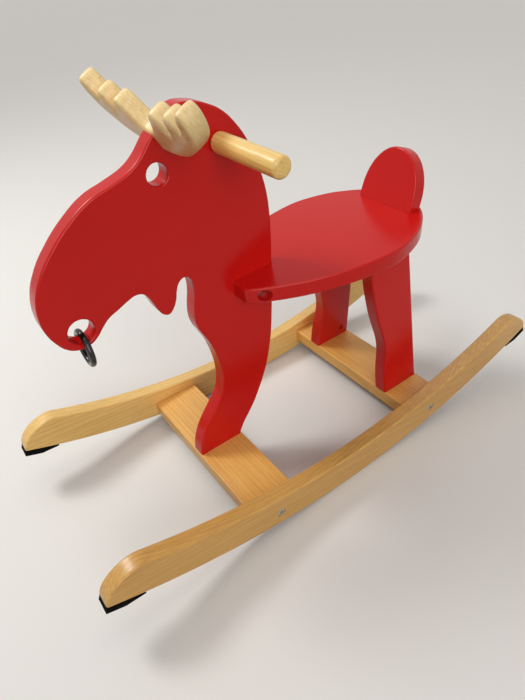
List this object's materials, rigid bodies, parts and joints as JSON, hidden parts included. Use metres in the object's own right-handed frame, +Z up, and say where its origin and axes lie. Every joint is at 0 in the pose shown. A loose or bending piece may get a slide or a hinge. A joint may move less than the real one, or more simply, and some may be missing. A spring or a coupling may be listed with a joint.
{
  "type": "rocking animal toy",
  "caption": "Wooden rocking reindeer for a small child, cut from painted board, with a seat, a handle bar, antlers and a loose nose ring, on curved rockers.",
  "frame": {"origin": "on the floor under the middle of the toy's box, with the toy standing at rest on its rockers", "axes": "+X to the animal's left, -Y the way its head points, +Z up"},
  "size_m": [0.34, 0.8524, 0.5992],
  "materials": {
    "red_paint": "satin red paint over board",
    "lacquered_wood": "clear satin lacquer over honey-coloured wood",
    "pale_wood": "clear satin lacquer over pale wood",
    "raw_beech": "bare turned beech",
    "black_gloss": "gloss",
    "black_rubber": "matte",
    "zinc_steel": "zinc plated"
  },
  "bodies": {
    "frame": {"antler_screw": "zinc_steel", "antlers": "pale_wood", "backrest": "red_paint", "backrest_dowel": "raw_beech", "backrest_screw_left": "zinc_steel", "backrest_screw_right": "zinc_steel", "cross_plate_front": "lacquered_wood", "cross_plate_rear": "lacquered_wood", "end_pad_left_front": "black_rubber", "end_pad_left_rear": "black_rubber", "end_pad_right_front": "black_rubber", "end_pad_right_rear": "black_rubber", "foot_bolt_front": "zinc_steel", "foot_bolt_rear": "zinc_steel", "foot_nut_front": "zinc_steel", "foot_nut_rear": "zinc_steel", "handle_brad": "zinc_steel", "handle_dowel": "raw_beech", "handle_left": "lacquered_wood", "handle_right": "lacquered_wood", "head_panel": "red_paint", "leg_bolt_left": "zinc_steel", "leg_bolt_right": "zinc_steel", "leg_foot_dowel_left": "raw_beech", "leg_foot_dowel_right": "raw_beech", "leg_nut_left": "zinc_steel", "leg_nut_right": "zinc_steel", "leg_seat_dowel_left_front": "raw_beech", "leg_seat_dowel_left_rear": "raw_beech", "leg_seat_dowel_right_front": "raw_beech", "leg_seat_dowel_right_rear": "raw_beech", "pad_screw_left_front": "zinc_steel", "pad_screw_left_rear": "zinc_steel", "pad_screw_right_front": "zinc_steel", "pad_screw_right_rear": "zinc_steel", "rear_leg_left": "red_paint", "rear_leg_right": "red_paint", "rocker_bolt_left_front": "zinc_steel", "rocker_bolt_left_rear": "zinc_steel", "rocker_bolt_right_front": "zinc_steel", "rocker_bolt_right_rear": "zinc_steel", "rocker_dowel_left_front_a": "raw_beech", "rocker_dowel_left_front_b": "raw_beech", "rocker_dowel_left_rear_a": "raw_beech", "rocker_dowel_left_rear_b": "raw_beech", "rocker_dowel_right_front_a": "raw_beech", "rocker_dowel_right_front_b": "raw_beech", "rocker_dowel_right_rear_a": "raw_beech", "rocker_dowel_right_rear_b": "raw_beech", "rocker_left": "lacquered_wood", "rocker_nut_left_front": "zinc_steel", "rocker_nut_left_rear": "zinc_steel", "rocker_nut_right_front": "zinc_steel", "rocker_nut_right_rear": "zinc_steel", "rocker_right": "lacquered_wood", "seat": "red_paint", "wing_bolt": "zinc_steel", "wing_sleeve_nut": "zinc_steel"},
    "ring": {"nose_ring": "black_gloss"}
  },
  "joints": [
    {"name": "nose_ring_swing", "type": "hinge", "parent": "frame", "child": "ring", "pos_m": [0, -0.31317, 0.34302], "axis": [1, 0, 0], "range_deg": [-84, 84]}
  ]
}
